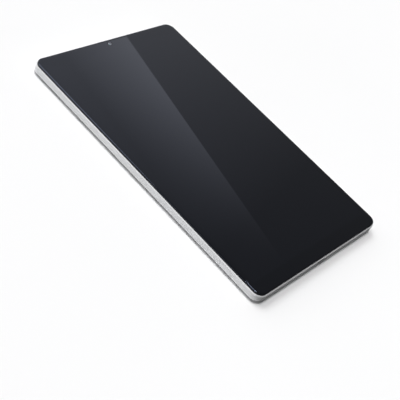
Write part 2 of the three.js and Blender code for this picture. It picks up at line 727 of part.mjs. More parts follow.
const KEY_FACE_X = OUTER_X + KEY_PROUD;
const FLANGE = { thickness: 0.5, overhangY: 0.8, overhangZ: 0.6 }; // keeps a key inside the shell
const PLUNGER_RADIUS = 0.8;
const SWITCH = { x: 59.2, radius: 1.4, height: 0.35 };
const KEY_FLEX_X = 59;
const BRACKET = { sheet: 0.6, z0: 2.7, z1: BACKLIGHT_Z - 0.1, nubRadius: 0.7, nubX: VOLUME.flangeX - 0.05 };

// A key: its cap in the shell's slot, a flange that keeps it in and plungers that press the switches.
function sideKey({ y, length, flangeX, plungerX }, plungerYs) {
  const edge = 0.2;
  const cap = pill(length, KEY_HEIGHT, y, KEY_Z);
  const softCap = pill(length - 2 * edge, KEY_HEIGHT - 2 * edge, y, KEY_Z);
  const flange = pill(length + 2 * FLANGE.overhangY, KEY_HEIGHT + 2 * FLANGE.overhangZ, y, KEY_Z);
  return join(
    prismX(cap, flangeX + 0.1, KEY_FACE_X - edge),
    prismX(softCap, KEY_FACE_X - edge - 0.1, KEY_FACE_X),
    prismX(flange, flangeX, flangeX + FLANGE.thickness),
    ...plungerYs.map((plungerY) => prismX(circle(PLUNGER_RADIUS, plungerY, KEY_Z), plungerX, flangeX + 0.1)),
  );
}

// A dome switch, bulging towards its key.
function domeSwitch(y) {
  const { x, radius, height } = SWITCH;
  const profile = [
    [0, 0],
    [radius, 0],
    [radius, height * 0.3],
    [radius * 0.6, height * 0.8],
    [0, height],
  ].map(([r, h]) => new THREE.Vector2(r, h));
  const geometry = new THREE.LatheGeometry(profile, 14);
  geometry.applyMatrix4(new THREE.Matrix4().makeBasis(Y_AXIS, X_AXIS, Z_AXIS.clone().negate()));
  return solid(geometry.translate(x, y, KEY_Z));
}

const VOLUME_SWITCHES = [VOLUME.y + VOLUME.switchOffset, VOLUME.y - VOLUME.switchOffset];

// Flexible circuit that stands behind the keys, with a tail that lies over the main board.
function sideKeyFlex() {
  const [low, high] = [POWER.y - 4.5, VOLUME.y + 13];
  const tailWidth = 4;
  const strip = box([KEY_FLEX_X, low, BOARD_Z], [KEY_FLEX_X + FLEX_THICKNESS, high, KEY_Z + 1.3]);
  const tail = box(
    [53, high - tailWidth - 0.5, FLEX_Z],
    [KEY_FLEX_X + 0.1, high - 0.5, FLEX_Z + FLEX_THICKNESS],
  );
  const nubHole = circle(BRACKET.nubRadius + 0.3, VOLUME.y, KEY_Z);
  return cut(join(strip, tail), prismX(nubHole, KEY_FLEX_X - PAST, KEY_FLEX_X + PAST, 6));
}

// Steel plate that backs the switches, with the nub that the volume rocker tilts on.
function keyBracket() {
  const back = KEY_FLEX_X - LAYER_GAP;
  const plate = box([back - BRACKET.sheet, POWER.y - 3.5, BRACKET.z0], [back, VOLUME.y + 8.4, BRACKET.z1]);
  return join(plate, prismX(circle(BRACKET.nubRadius, VOLUME.y, KEY_Z), back - 0.1, BRACKET.nubX, 5));
}

part("volume_rocker", sideKey(VOLUME, VOLUME_SWITCHES), WHITE_GLOSS);
part("power_key", sideKey(POWER, [POWER.y]), WHITE_GLOSS);
part("dome_switch_volume_up", domeSwitch(VOLUME_SWITCHES[0]), STEEL);
part("dome_switch_volume_down", domeSwitch(VOLUME_SWITCHES[1]), STEEL);
part("dome_switch_power", domeSwitch(POWER.y), STEEL);
part("side_key_flex", sideKeyFlex(), FLEX_AMBER);
part("key_bracket", keyBracket(), STEEL);

// ---- Card tray and its socket ----

const SOCKET = { x0: CARD.x0 - 1.5, x1: 58.6, y0: TRAY.holeY + 0.7, y1: 21.1, sheet: 0.14 };
const SOCKET_Z = [BOARD_TOP_Z + LAYER_GAP, PLATE_Z - LAYER_GAP];

// A flush face with an eject hole, and a flat drawer with a window for one card.
function cardTray() {
  const { x0, x1, z0, z1, border, windowX } = CARD;
  const [y0, y1] = [SOCKET.y0 + 0.8, SOCKET.y1 - 0.8];
  const face = prismX(pill(TRAY.length, TRAY.height, TRAY.y, TRAY.z), TRAY.faceX, OUTER_X);
  const drawer = box([x0, y0, z0], [x1, y1, z1]);
  const window = box([x0 + border, y0 + border, z0 - PAST], [windowX, y1 - border, z1 + PAST]);
  const ejectHole = prismX(circle(0.45, TRAY.holeY, TRAY.z), TRAY.faceX - PAST, OUTER_X + PAST, 5);
  return cut(join(face, drawer), window, ejectHole);
}

// Sheet-metal sleeve on the main board, open at its outer end.
function cardSocket() {
  const { x0, x1, y0, y1, sheet } = SOCKET;
  const [z0, z1] = SOCKET_Z;
  return cut(
    box([x0, y0, z0], [x1, y1, z1]),
    box([x0 + sheet, y0 + sheet, z0 + sheet], [x1 + PAST, y1 - sheet, z1 - sheet]),
  );
}

part("card_tray", cardTray(), WHITE_GLOSS);
part("card_socket", cardSocket(), STEEL);

export default tablet;
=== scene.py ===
"""A slim white tablet computer, lying on its back with the screen up, on a pale studio floor.

Metres. X runs to the side with the keys, Y to the end with the front camera, Z out of the screen.
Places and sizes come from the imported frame; the values named below are the details that it leaves out.
"""

import math
import random

import bmesh
import bpy
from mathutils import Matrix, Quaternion, Vector


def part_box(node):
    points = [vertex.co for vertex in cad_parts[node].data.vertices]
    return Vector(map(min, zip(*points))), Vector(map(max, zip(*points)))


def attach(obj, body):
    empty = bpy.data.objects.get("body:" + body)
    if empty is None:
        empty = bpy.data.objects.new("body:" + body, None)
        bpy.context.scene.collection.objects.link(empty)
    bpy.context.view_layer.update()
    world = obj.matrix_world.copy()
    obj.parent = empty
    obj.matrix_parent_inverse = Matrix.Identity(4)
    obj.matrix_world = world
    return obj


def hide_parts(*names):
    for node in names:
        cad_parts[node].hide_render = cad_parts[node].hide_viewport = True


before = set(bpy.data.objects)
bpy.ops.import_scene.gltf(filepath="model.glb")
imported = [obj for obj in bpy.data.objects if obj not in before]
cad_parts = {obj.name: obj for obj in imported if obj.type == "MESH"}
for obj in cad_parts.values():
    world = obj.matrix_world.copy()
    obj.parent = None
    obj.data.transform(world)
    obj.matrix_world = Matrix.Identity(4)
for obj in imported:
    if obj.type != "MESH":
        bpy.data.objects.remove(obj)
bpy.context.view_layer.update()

MM = 0.001

# ---- Camera ----

VIEW_AZIMUTH = math.radians(-66.42)
VIEW_ELEVATION = math.radians(40.75)
VIEW_ROLL = math.radians(29.98)
VIEW_DISTANCE = 536.6 * MM
VIEW_LENS = 82.75
AIM_X, AIM_Y = -42.6 * MM, -32.9 * MM

# ---- Reflection in the front glass: a straight edge between two places on it ----

EDGE_NEAR = (-30.4 * MM, -100 * MM)
EDGE_FAR = (17.5 * MM, 100 * MM)
CARD_WIDTH = 0.2
CARD_STRENGTH = 0.66

# ---- Surroundings: brightness by how far a direction points to the end with the front camera ----

SURROUNDINGS = {0.0: 0.14, 0.17: 0.18, 0.25: 0.22, 0.3: 0.32, 0.36: 0.44, 0.42: 0.58, 0.5: 0.76, 1.0: 1.0}
DARK_CARD_TONE = 0.12

# ---- Body ----

CORNER_RADIUS = 6.4 * MM
BACK_ROUND = 2.8 * MM
WALL = 1.3 * MM
FLOOR_THICKNESS = 0.9 * MM
RIM_CHAMFER = 0.4 * MM
GLASS_EDGE_WIDTH = 0.85 * MM
GLASS_EDGE_HEIGHT = 0.5 * MM
COATING_TINT = (0.64, 0.72, 1.0)  # the front glass's anti-reflection coating mirrors bluish
CORNER_STEPS = 24
SUPPORT = 0.8 * MM  # width of the flat strip that keeps a rounded edge's shading off a flat face
PAST = 1 * MM  # overshoot of a cutter past the face that it cuts

# ---- Openings ----

KEY_PLAY = 0.15 * MM
TRAY_PLAY = 0.12 * MM
PORT_PLAY = 0.2 * MM
MOUTH_FLARE = 0.16 * MM
EJECT_RADIUS = 0.45 * MM
MICROPHONE_RADIUS = 0.45 * MM
GRILLE_HOLES = 7
GRILLE_PITCH = 2.6 * MM
GRILLE_RADIUS = 0.55 * MM
PORT_Z = 3.9 * MM

SHELL_LOW, SHELL_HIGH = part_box("rear_cover")
GLASS_LOW, GLASS_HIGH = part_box("cover_glass")
HALF_X, HALF_Y = SHELL_HIGH.x, SHELL_HIGH.y
GLASS_INSET = HALF_X - GLASS_HIGH.x
BACK_Z = SHELL_LOW.z
RIM_Z = SHELL_HIGH.z
FLOOR_Z = BACK_Z + FLOOR_THICKNESS


# ---- Outlines: each is a function of an inset that gives points in the outline's own plane ----


def rounded_rectangle(half_u, half_v, radius, steps, u=0.0, v=0.0):
    """Points of a rounded rectangle, anticlockwise, with `steps` edges round each corner."""
    points = []
    for side_u, side_v, start in ((1, -1, -90), (1, 1, 0), (-1, 1, 90), (-1, -1, 180)):
        centre_u = u + side_u * (half_u - radius)
        centre_v = v + side_v * (half_v - radius)
        for i in range(steps + 1):
            angle = math.radians(start + 90 * i / steps)
            points.append((centre_u + radius * math.cos(angle), centre_v + radius * math.sin(angle)))
    return points


def body_outline(inset):
    return rounded_rectangle(HALF_X - inset, HALF_Y - inset, CORNER_RADIUS - inset, CORNER_STEPS)


def rectangle_outline(half_u, half_v, radius, u=0.0, v=0.0, steps=6):
    def outline(inset):
        return rounded_rectangle(half_u - inset, half_v - inset, max(radius - inset, 1e-5), steps, u, v)

    return outline


def pill_outline(size_u, size_v, u=0.0, v=0.0, steps=10):
    return rectangle_outline(size_u / 2, size_v / 2, min(size_u, size_v) / 2, u, v, steps)


def disc_outline(radius, u=0.0, v=0.0, steps=8):
    return pill_outline(2 * radius, 2 * radius, u, v, steps)


# ---- Solids ----

AXES = {
    "x": lambda u, v, w: (w, u, v),
    "y": lambda u, v, w: (u, w, v),
    "z": lambda u, v, w: (u, v, w),
}


def rounding(start, end, steps, along_inset_first):
    """A quarter ellipse between two (inset, height) points of a profile."""
    points = []
    for i in range(steps + 1):
        angle = math.pi / 2 * i / steps
        early, late = math.sin(angle), 1 - math.cos(angle)
        share_inset, share_height = (early, late) if along_inset_first else (late, early)
        inset = start[0] + (end[0] - start[0]) * share_inset
        height = start[1] + (end[1] - start[1]) * share_height
        points.append((inset, height))
    return points


def stack(outline, profile, axis="z"):
    """A closed solid through the outline at each (inset, height) of the profile, along an axis."""
    shape = bmesh.new()
    loops = []
    for inset, height in profile:
        loops.append([shape.verts.new(AXES[axis](u, v, height)) for u, v in outline(inset)])
    for lower, upper in zip(loops, loops[1:]):
        for i in range(len(lower)):
            j = (i + 1) % len(lower)
            shape.faces.new((lower[i], lower[j], upper[j], upper[i]))
    shape.faces.new(loops[0])
    shape.faces.new(loops[-1])
    bmesh.ops.remove_doubles(shape, verts=shape.verts, dist=1e-7)
    bmesh.ops.recalc_face_normals(shape, faces=shape.faces)
    mesh = bpy.data.meshes.new("shape")
    shape.to_mesh(mesh)
    shape.free()
    return mesh


def block(low, high, edge=0.05 * MM):
    """A box between two corners, with small chamfers."""
    half_u, half_v = (high[0] - low[0]) / 2, (high[1] - low[1]) / 2
    outline = rectangle_outline(half_u, half_v, edge, (low[0] + high[0]) / 2, (low[1] + high[1]) / 2, 2)
    return stack(outline, [(edge, low[2]), (0, low[2] + edge), (0, high[2] - edge), (edge, high[2])])


def together(meshes):
    """Separate meshes as one mesh."""
    shape = bmesh.new()
    for mesh in meshes:
        shape.from_mesh(mesh)
        bpy.data.meshes.remove(mesh)
    whole = bpy.data.meshes.new("shape")
    shape.to_mesh(whole)
    shape.free()
    return whole


def boolean(mesh, others, operation):
    """The mesh after one exact boolean with the other meshes."""
    body = bpy.data.objects.new("boolean_body", mesh)
    tool = bpy.data.objects.new("boolean_tool", together(others))
    for item in (body, tool):
        bpy.context.scene.collection.objects.link(item)
    modifier = body.modifiers.new("boolean", "BOOLEAN")
    modifier.object = tool
    modifier.operation = operation
    modifier.solver = "EXACT"
    modifier.use_self = operation == "UNION"
    graph = bpy.context.evaluated_depsgraph_get()
    result = bpy.data.meshes.new_from_object(body.evaluated_get(graph))
    for item in (body, tool):
        bpy.data.objects.remove(item)
    return result


def cut(mesh, *cutters):
    return boolean(mesh, cutters, "DIFFERENCE")


def join(mesh, *others):
    return boolean(mesh, others, "UNION")


def piece(name, mesh, material, body, slot, *replaced, sharp=30):
    """Puts a mesh in the scene as a named piece of the object that rides on a body."""
    mesh.name = name
    mesh.materials.clear()
    mesh.materials.append(material)
    mesh.shade_smooth()
    mesh.set_sharp_from_angle(angle=math.radians(sharp))
    made = bpy.data.objects.new(name, mesh)
    bpy.context.scene.collection.objects.link(made)
    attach(made, body)
    if replaced:
        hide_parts(*replaced)
    return made


# ---- Node graphs ----


class Graph:
    """A material's nodes, with a short call for each kind that the finishes below use."""

    def __init__(self, name):
        self.material = bpy.data.materials.new(name)
        self.material.use_nodes = True
        self.tree = self.material.node_tree
        self.shader = self.tree.nodes["Principled BSDF"]
        self.place = self.node("ShaderNodeTexCoord").outputs["Object"]

    def node(self, kind, inputs=None, **settings):
        made = self.tree.nodes.new(kind)
        for name, value in settings.items():
            setattr(made, name, value)
        for name, value in (inputs or {}).items():
            self.feed(made.inputs[name], value)
        return made

    def feed(self, socket, value):
        if isinstance(value, bpy.types.NodeSocket):
            self.tree.links.new(value, socket)
        else:
            socket.default_value = value

    def shade(self, **inputs):
        """Sets the surface's own inputs, by their names with _ for spaces."""
        for name, value in inputs.items():
            self.feed(self.shader.inputs[name.replace("_", " ")], value)

    def noise(self, scale, detail=3.0, stretch=(1, 1, 1)):
        stretched = self.node("ShaderNodeVectorMath", {0: self.place, 1: stretch}, operation="MULTIPLY")
        inputs = {"Vector": stretched.outputs[0], "Scale": scale, "Detail": detail}
        return self.node("ShaderNodeTexNoise", inputs).outputs[0]

    def spread(self, value, from_low, from_high, to_low=0.0, to_high=1.0, smooth=False):
        """The value mapped from one range to another, and kept inside it."""
        inputs = {0: value, 1: from_low, 2: from_high, 3: to_low, 4: to_high}
        kind = "SMOOTHSTEP" if smooth else "LINEAR"
        return self.node("ShaderNodeMapRange", inputs, interpolation_type=kind).outputs[0]

    def math(self, operation, a, b=0.0):
        return self.node("ShaderNodeMath", {0: a, 1: b}, operation=operation).outputs[0]

    def mix(self, share, a, b):
        made = self.node("ShaderNodeMix", data_type="RGBA")
        self.feed(made.inputs["Factor"], share)
        for name, colour in (("A", a), ("B", b)):
            socket = [s for s in made.inputs if s.name == name and s.type == "RGBA"][0]
            self.feed(socket, colour if isinstance(colour, bpy.types.NodeSocket) else (*colour, 1))
        return [s for s in made.outputs if s.type == "RGBA"][0]

    def axis(self, letter):
        return self.node("ShaderNodeSeparateXYZ", {0: self.place}).outputs[letter]

    def bump(self, height, distance, strength=1.0):
        inputs = {"Height": height, "Distance": distance, "Strength": strength}
        return self.node("ShaderNodeBump", inputs).outputs[0]

    def disc(self, centre, radius, soft=0.03 * MM):
        """1 inside a circle in X and Y, 0 outside it."""
        across = self.math("SUBTRACT", self.axis("X"), centre[0])
        along = self.math("SUBTRACT", self.axis("Y"), centre[1])
        squares = self.math("ADD", self.math("POWER", across, 2), self.math("POWER", along, 2))
        distance = self.math("SQRT", squares)
        return self.spread(distance, radius, radius + soft, 1, 0, True)


def finish(name, light, dark, roughness, metallic=0.0, grain=900, grain_depth=0.01, **more):
    """A moulded, rolled or printed surface: two close tones, uneven roughness and a fine grain."""
    graph = Graph(name)
    patches = graph.spread(graph.noise(grain / 12), 0.35, 0.65)
    fine = graph.noise(grain, 4)
    graph.shade(
        Base_Color=graph.mix(patches, dark, light),
        Metallic=metallic,
        Roughness=graph.spread(fine, 0.3, 0.7, roughness * 0.85, roughness * 1.15),
        Normal=graph.bump(fine, grain_depth * MM),
        **more,
    )
    return graph.material


def white_shell():
    """Pearl white under a clear coat: glossy on the back, satin on the walls."""
    graph = Graph("pearl_white_shell")
    clouds = graph.spread(graph.noise(18), 0.35, 0.65)
    flakes = graph.spread(graph.noise(9000, 1), 0.55, 0.75)
    ground = graph.mix(clouds, (0.80, 0.81, 0.825), (0.83, 0.838, 0.85))
    normal_z = graph.node("ShaderNodeNewGeometry").outputs["True Normal"]
    facing_down = graph.node("ShaderNodeSeparateXYZ", {0: normal_z}).outputs["Z"]
    wall = graph.spread(graph.math("ABSOLUTE", facing_down), 0.75, 0.35)
    satin = graph.spread(graph.noise(2200, 2), 0.3, 0.7, 0.30, 0.38)
    gloss = graph.spread(graph.noise(240, 3), 0.3, 0.7, 0.13, 0.19)
    roughness = graph.node("ShaderNodeMix", {"Factor": wall, "A": gloss, "B": satin}).outputs[0]
    graph.shade(
        Base_Color=graph.mix(graph.math("MULTIPLY", flakes, 0.35), ground, (0.9, 0.905, 0.91)),
        Roughness=roughness,
        Coat_Weight=graph.spread(wall, 0, 1, 0.7, 0.15),
        Coat_Roughness=0.05,
        Normal=graph.bump(graph.noise(420, 2), 0.002 * MM),
    )
    return graph.material


def screen_glass(camera_x, camera_y):
    """Black-backed glass: the display's area is a shade lighter than its border, and the front
    camera looks out through a clear window."""
    graph = Graph("screen_glass")
    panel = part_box("display_panel")[1]
    beyond_x = graph.spread(graph.math("ABSOLUTE", graph.axis("X")), panel.x - 1 * MM, panel.x, 1, 0)
    beyond_y = graph.spread(graph.math("ABSOLUTE", graph.axis("Y")), panel.y - 1 * MM, panel.y, 1, 0)
    display = graph.math("MULTIPLY", beyond_x, beyond_y)
    window = graph.disc((camera_x, camera_y), 1.45 * MM)
    black = graph.mix(display, (0.0026, 0.0027, 0.003), (0.0034, 0.0036, 0.0043))
    smears = graph.spread(graph.noise(26, 3, (1, 0.45, 1)), 0.5, 0.72)
    graph.shade(
        Base_Color=graph.mix(window, black, (1, 1, 1)),
        Roughness=graph.spread(smears, 0, 1, 0.005, 0.02),
        IOR=1.52,
        Specular_Tint=(*COATING_TINT, 1),
        Transmission_Weight=window,
    )
    return graph.material


def camera_window(lens, flash):
    """Glass printed black on its inner face, with a clear window over the lens and over the flash."""
    graph = Graph("camera_window")
    clear = graph.math("MAXIMUM", graph.disc(lens, 2.75 * MM), graph.disc(flash, 1.5 * MM))
    patches = graph.spread(graph.noise(700), 0.4, 0.6)
    print_tone = graph.mix(patches, (0.02, 0.021, 0.024), (0.026, 0.027, 0.03))
    graph.shade(
        Base_Color=graph.mix(clear, print_tone, (1, 1, 1)),
        Roughness=graph.spread(graph.noise(60), 0.4, 0.7, 0.02, 0.045),
        IOR=1.5,
        Transmission_Weight=clear,
    )
    return graph.material


def lens_glass():
    """Dark coated lens, with the coating's faint colours."""
    graph = Graph("coated_lens")
    thickness = graph.spread(graph.noise(300, 1), 0.3, 0.7, 330, 420)
    graph.shade(
        Base_Color=(0.004, 0.005, 0.012, 1),
        Roughness=0.03,
        IOR=1.7,
        Thin_Film_Thickness=thickness,
        Thin_Film_IOR=1.38,
        Coat_Weight=0.4,
    )
    return graph.material


def circuit_board():
    """Green solder mask over copper tracks, with tinned pads."""
    graph = Graph("circuit_board")
    cells = {"Vector": graph.place, "Scale": 420.0}
    tracks = graph.node("ShaderNodeTexVoronoi", cells, distance="MANHATTAN").outputs["Distance"]
    track = graph.spread(tracks, 0.42, 0.48)
    pads = graph.node("ShaderNodeTexVoronoi", {"Vector": graph.place, "Scale": 700.0}).outputs["Distance"]
    pad = graph.spread(pads, 0.2, 0.16)
    mask = graph.mix(track, (0.012, 0.075, 0.045), (0.02, 0.13, 0.075))
    graph.shade(
        Base_Color=graph.mix(pad, mask, (0.62, 0.6, 0.55)),
        Metallic=pad,
        Roughness=graph.spread(graph.noise(1500), 0.3, 0.7, 0.28, 0.42),
        Normal=graph.bump(graph.math("ADD", track, pad), 0.02 * MM),
    )
    return graph.material


def amber_flex():
    """Amber film with parallel copper tracks."""
    graph = Graph("amber_flex")
    waves = {"Vector": graph.place, "Scale": 900.0, "Distortion": 0.6}
    bands = graph.node("ShaderNodeTexWave", waves, bands_direction="X").outputs[0]
    copper = graph.spread(bands, 0.45, 0.6)
    graph.shade(
        Base_Color=graph.mix(copper, (0.42, 0.2, 0.04), (0.5, 0.23, 0.09)),
        Roughness=graph.spread(graph.noise(1200), 0.3, 0.7, 0.3, 0.42),
        Normal=graph.bump(copper, 0.01 * MM),
        Coat_Weight=0.3,
    )
    return graph.material


def battery_foil():
    """Laminated foil with soft creases."""
    graph = Graph("battery_foil")
    creases = graph.noise(180, 5, (1, 0.35, 1))
    graph.shade(
        Base_Color=graph.mix(graph.spread(graph.noise(60), 0.4, 0.6), (0.5, 0.51, 0.53), (0.6, 0.61, 0.63)),
        Metallic=0.85,
        Roughness=graph.spread(creases, 0.3, 0.7, 0.28, 0.42),
        Normal=graph.bump(creases, 0.08 * MM),
    )
    return graph.material


def woven_mesh():
    """Fine acoustic cloth: warp over weft."""
    graph = Graph("acoustic_mesh")
    threads = []
    for direction in ("X", "Z"):
        waves = {"Vector": graph.place, "Scale": 1600.0}
        threads.append(graph.node("ShaderNodeTexWave", waves, bands_direction=direction).outputs[0])
    weave = graph.math("MAXIMUM", *threads)
    graph.shade(
        Base_Color=graph.mix(graph.spread(weave, 0.4, 0.9), (0.006, 0.006, 0.007), (0.05, 0.051, 0.055)),
        Metallic=0.4,
        Roughness=0.5,
        Normal=graph.bump(weave, 0.03 * MM),
    )
    return graph.material


def studio_floor():
    """Matt, nearly white paper."""
    graph = Graph("studio_floor")
    tone = graph.spread(graph.noise(3), 0.3, 0.7)
    graph.shade(
        Base_Color=graph.mix(tone, (0.88, 0.88, 0.885), (0.9, 0.9, 0.905)),
        Roughness=0.9,
        Specular_IOR_Level=0.1,
    )
    return graph.material


# ---- Finishes of the pieces that are built here ----

REAR_CAMERA_LOW, REAR_CAMERA_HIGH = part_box("rear_camera_module")
LENS_X = (REAR_CAMERA_LOW.x + REAR_CAMERA_HIGH.x) / 2
LENS_Y = (REAR_CAMERA_LOW.y + REAR_CAMERA_HIGH.y) / 2
FLASH_LOW, FLASH_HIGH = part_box("flash_lens")
FLASH_X = (FLASH_LOW.x + FLASH_HIGH.x) / 2
FLASH_Y = (FLASH_LOW.y + FLASH_HIGH.y) / 2
FRONT_CAMERA_LOW, FRONT_CAMERA_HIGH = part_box("front_camera_module")
FRONT_CAMERA_X = (FRONT_CAMERA_LOW.x + FRONT_CAMERA_HIGH.x) / 2
FRONT_CAMERA_Y = (FRONT_CAMERA_LOW.y + FRONT_CAMERA_HIGH.y) / 2

SHELL_WHITE = white_shell()
KEY_WHITE = finish(
    "key_white", (0.83, 0.835, 0.85), (0.8, 0.808, 0.822), 0.24,
    grain=1400, grain_depth=0.002, Coat_Weight=0.4,
)
FRAME_BLACK = finish("frame_black", (0.012, 0.012, 0.014), (0.008, 0.008, 0.01), 0.42, grain=2600)
SCREEN_GLASS = screen_glass(FRONT_CAMERA_X, FRONT_CAMERA_Y)
TRIM_BLACK = finish(
    "camera_trim_black", (0.02, 0.02, 0.022), (0.013, 0.013, 0.015), 0.2,
    0.5, grain=1800, grain_depth=0.003, Coat_Weight=0.5,
)
CAMERA_WINDOW = camera_window((LENS_X, LENS_Y), (FLASH_X, FLASH_Y))
LENS_GLASS = lens_glass()
BARREL_BLACK = finish(
    "lens_barrel_black", (0.016, 0.016, 0.018), (0.01, 0.01, 0.011), 0.55,
    grain=3000,
)
RING_ALLOY = finish(
    "lens_ring_alloy", (0.72, 0.73, 0.75), (0.62, 0.63, 0.65), 0.28,
    1.0, grain=3000, grain_depth=0.002,
)
FLASH_CLEAR = finish(
    "flash_clear", (0.95, 0.95, 0.9), (0.92, 0.92, 0.88), 0.12,
    grain=900, grain_depth=0.002, Transmission_Weight=0.6,
)
PORT_METAL = finish(
    "port_metal", (0.62, 0.63, 0.65), (0.52, 0.53, 0.55), 0.24,
    1.0, grain=2500, grain_depth=0.004,
)
PORT_BLACK = finish("port_black", (0.014, 0.014, 0.015), (0.009, 0.009, 0.01), 0.5, grain=3000)
CONTACT_GOLD = finish(
    "contact_gold", (0.85, 0.6, 0.25), (0.75, 0.5, 0.2), 0.22,
    1.0, grain=4000, grain_depth=0.002,
)
PRINT_GREY = finish(
    "print_grey", (0.2, 0.2, 0.205), (0.16, 0.16, 0.165), 0.4,
    grain=3500, grain_depth=0.001,
)
PRINT_PALE = finish(
    "print_pale", (0.62, 0.62, 0.625), (0.56, 0.56, 0.565), 0.4,
    grain=3500, grain_depth=0.001,
)


# ---- Shell ----

FACE_HEIGHT = 2.2 * MM  # of the keys' caps and of the card tray's face
KEY_OVERHANG = 0.8 * MM  # of a key's flange past its cap
MICROPHONE_LOW, MICROPHONE_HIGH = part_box("microphone")


def mouth(outline, inner, surface, axis):
    """A cutter for an opening in a wall, with a small flare where it meets the surface. The surface
    lies on the outer side, and the cutter runs past it."""
    outward = math.copysign(1, surface - inner)
    profile = [
        (0, inner),
        (0, surface - outward * MOUTH_FLARE),
        (-MOUTH_FLARE, surface),
        (-MOUTH_FLARE, surface + outward * PAST),
    ]
    return stack(outline, profile, axis)


def side_opening(node, overhang, play):
    """The shell's slot round a key or the card tray. The node is longer than its face by the
    overhang at each end, and the slot clears the face by the play."""
    low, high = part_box(node)
    length = high.y - low.y - 2 * overhang + 2 * play
    height = FACE_HEIGHT + 2 * play
    centre_y, centre_z = (low.y + high.y) / 2, (low.z + high.z) / 2
    return mouth(pill_outline(length, height, centre_y, centre_z), HALF_X - WALL - PAST, HALF_X, "x")


def grille_centres(node):
    low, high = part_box(node)
    middle = (low.x + high.x) / 2
    return [middle + (i - (GRILLE_HOLES - 1) / 2) * GRILLE_PITCH for i in range(GRILLE_HOLES)]


def rear_shell():
    inside_round = 1 * MM
    floor_edge = WALL + inside_round
    profile = [
        (BACK_ROUND + SUPPORT, BACK_Z),
        *rounding((BACK_ROUND, BACK_Z), (0, BACK_Z + BACK_ROUND), 14, True),
        (0, RIM_Z - RIM_CHAMFER),
        (RIM_CHAMFER, RIM_Z),
        (WALL, RIM_Z),
        *rounding((WALL, FLOOR_Z + inside_round), (floor_edge, FLOOR_Z), 5, False),
        (floor_edge + SUPPORT, FLOOR_Z),
    ]
    island_low, island_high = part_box("camera_glass")
    island_round = (island_high.x - island_low.x) / 2
    gap = 1.13 * MM  # from the camera glass to the edge of the shell's hole
    island = rectangle_outline(
        island_round + gap,
        (island_high.y - island_low.y) / 2 + gap,
        island_round + gap,
        (island_low.x + island_high.x) / 2,
        (island_low.y + island_high.y) / 2,
        16,
    )
    port_low, port_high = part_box("usb_c_shell")
    port_size = port_high - port_low
    port = pill_outline(port_size.x + 2 * PORT_PLAY, port_size.z + 1.5 * PORT_PLAY, 0, PORT_Z, 12)
    microphone = disc_outline(MICROPHONE_RADIUS, (MICROPHONE_LOW.x + MICROPHONE_HIGH.x) / 2, PORT_Z)
    cutters = [
        side_opening("volume_rocker", KEY_OVERHANG, KEY_PLAY),
        side_opening("power_key", KEY_OVERHANG, KEY_PLAY),
        side_opening("card_tray", 0, TRAY_PLAY),
        mouth(port, -HALF_Y + WALL + PAST, -HALF_Y, "y"),
        mouth(microphone, -HALF_Y + WALL + PAST, -HALF_Y, "y"),
        mouth(island, FLOOR_Z + PAST, BACK_Z, "z"),
    ]
    for node in ("speaker_mesh_left", "speaker_mesh_right"):
        for x in grille_centres(node):
            hole = disc_outline(GRILLE_RADIUS, x, PORT_Z)
            cutters.append(mouth(hole, HALF_Y - WALL - PAST, HALF_Y, "y"))
    return cut(stack(body_outline, profile), *cutters)


piece("rear_shell", rear_shell(), SHELL_WHITE, "body", "white_shell", "rear_cover")


# ---- Front frame and glass ----


def front_band():
    """The black frame: a flat ring that carries the glass, with a hole for the front camera."""
    low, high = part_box("front_frame")
    edge = 0.08 * MM
    ring = stack(
        body_outline,
        [
            (GLASS_INSET + edge, low.z),
            (GLASS_INSET, low.z + edge),
            (GLASS_INSET, high.z - edge),
            (GLASS_INSET + edge, high.z),
        ],
    )
    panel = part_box("display_panel")[1]
    through = [(0, low.z - PAST), (0, high.z + PAST)]
    window = stack(rectangle_outline(panel.x + 0.3 * MM, panel.y + 0.4 * MM, 1 * MM), through)
    camera_hole = stack(disc_outline(1.9 * MM, FRONT_CAMERA_X, FRONT_CAMERA_Y), through)
    return cut(ring, window, camera_hole)


def front_glass():
    low_z, high_z = GLASS_LOW.z, GLASS_HIGH.z
    lower_chamfer = 0.12 * MM
    side_top = high_z - GLASS_EDGE_HEIGHT
    curve_end = GLASS_INSET + GLASS_EDGE_WIDTH
    profile = [
        (GLASS_INSET + lower_chamfer, low_z),
        (GLASS_INSET, low_z + lower_chamfer),
        *rounding((GLASS_INSET, side_top), (curve_end, high_z), 12, False),
        (curve_end + SUPPORT, high_z),
    ]
    return stack(body_outline, profile)


piece("front_band", front_band(), FRAME_BLACK, "body", "black_frame", "front_frame")
piece("front_glass", front_glass(), SCREEN_GLASS, "body", "screen_glass", "cover_glass")


# ---- Side keys and card tray ----


def key_shape(node, plunger_offsets):
    """A key: a softly crowned cap, the flange that keeps it in, and its plungers."""
    low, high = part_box(node)
    centre_y, centre_z = (low.y + high.y) / 2, (low.z + high.z) / 2
    flange_height = high.z - low.z
    flange_z = (flange_height - FACE_HEIGHT) / 2
    plunger_length = 0.6 * MM if len(plunger_offsets) > 1 else 0.65 * MM
    flange_x = low.x + plunger_length
    flange_thickness = 0.5 * MM
    soft = 0.32 * MM
    outline = pill_outline(high.y - low.y, flange_height, centre_y, centre_z, 12)
    cap_top = high.x - 0.04 * MM
    profile = [
        (0, flange_x),
        (0, flange_x + flange_thickness),
        (flange_z, flange_x + flange_thickness),
        *rounding((flange_z, cap_top - soft), (flange_z + soft, cap_top), 7, False),
        (flange_z + 1.8 * soft, high.x - 0.01 * MM),
        (flange_z + 2.6 * soft, high.x),
    ]
    plunger_radius = 0.8 * MM
    chamfer = 0.1 * MM
    along = [(chamfer, low.x), (0, low.x + chamfer), (0, flange_x + chamfer)]
    plungers = []
    for offset in plunger_offsets:
        plunger = disc_outline(plunger_radius, centre_y + offset, centre_z)
        plungers.append(stack(plunger, along, "x"))
    return join(stack(outline, profile, "x"), *plungers)


